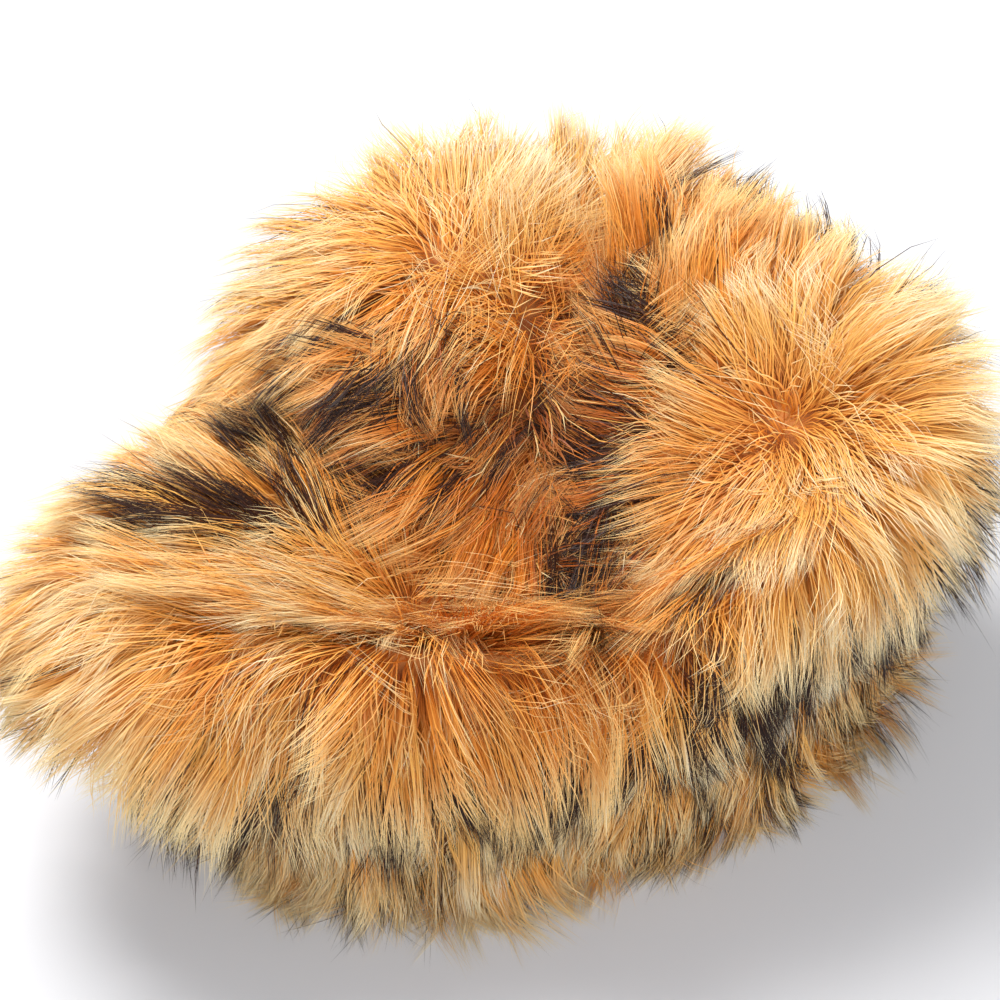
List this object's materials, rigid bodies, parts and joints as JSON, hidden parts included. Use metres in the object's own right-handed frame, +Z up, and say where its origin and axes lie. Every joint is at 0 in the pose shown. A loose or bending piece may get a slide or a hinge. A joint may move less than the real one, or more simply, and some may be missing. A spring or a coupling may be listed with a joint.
{
  "type": "faux fur hat",
  "caption": "Soft oval hat of long-pile faux fur: an upright side band under a puffed crown with a dented top, open below for the head.",
  "frame": {"origin": "centre of the head opening, on the surface that the hat lies on", "axes": "+Z up through the crown, -Y towards the front of the hat, +X to the right as the front is looked at"},
  "size_m": [0.2957, 0.2456, 0.1298],
  "materials": {
    "crown_fur": "long glossy pile, golden orange with dark-tipped stripes",
    "band_fur": "long glossy pile, tawny orange with pale and dark tips"
  },
  "bodies": {
    "root": {"crown": "crown_fur", "side_band": "band_fur"}
  },
  "joints": []
}
